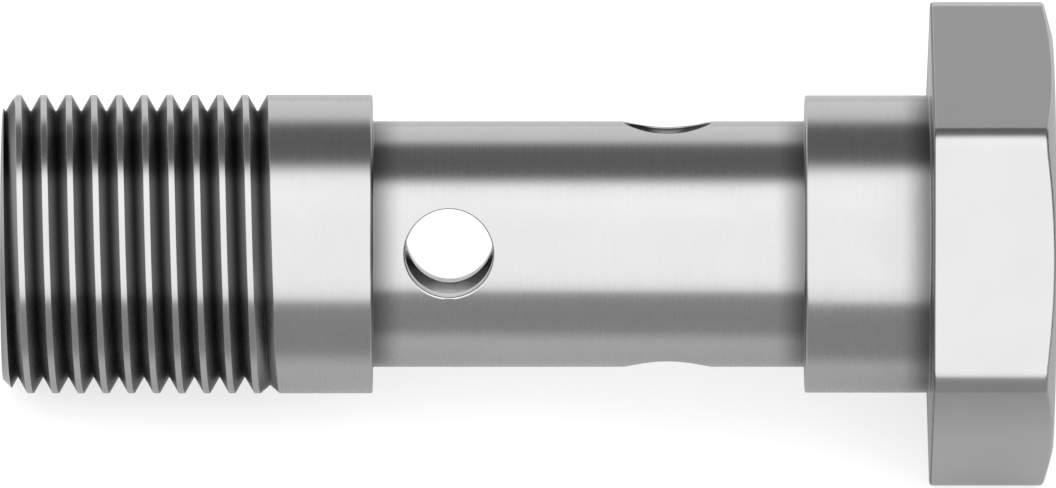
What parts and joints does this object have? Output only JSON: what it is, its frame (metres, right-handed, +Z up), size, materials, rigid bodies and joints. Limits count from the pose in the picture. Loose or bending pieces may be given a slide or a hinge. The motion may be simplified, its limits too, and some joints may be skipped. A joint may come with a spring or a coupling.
{
  "type": "banjo bolt",
  "caption": "Hollow steel bolt with a hexagon head, a thinner cross-drilled neck and a fine thread, for clamping a banjo fitting and passing fluid through it.",
  "frame": {"origin": "on the surface that the bolt lies on, under the middle of its bounding box", "axes": "+Z up. +X level, in the vertical plane of the bolt's axis, from the tip of the thread towards the head. The bolt's own axis rises 4.05 degrees from the tip to the head, because it lies on one flat of the head and the first crest of the thread."},
  "size_m": [0.0424, 0.0192, 0.0173],
  "materials": {
    "plated_steel": "bright plated, finely turned"
  },
  "bodies": {
    "root": {"banjo_bolt": "plated_steel"}
  },
  "joints": []
}
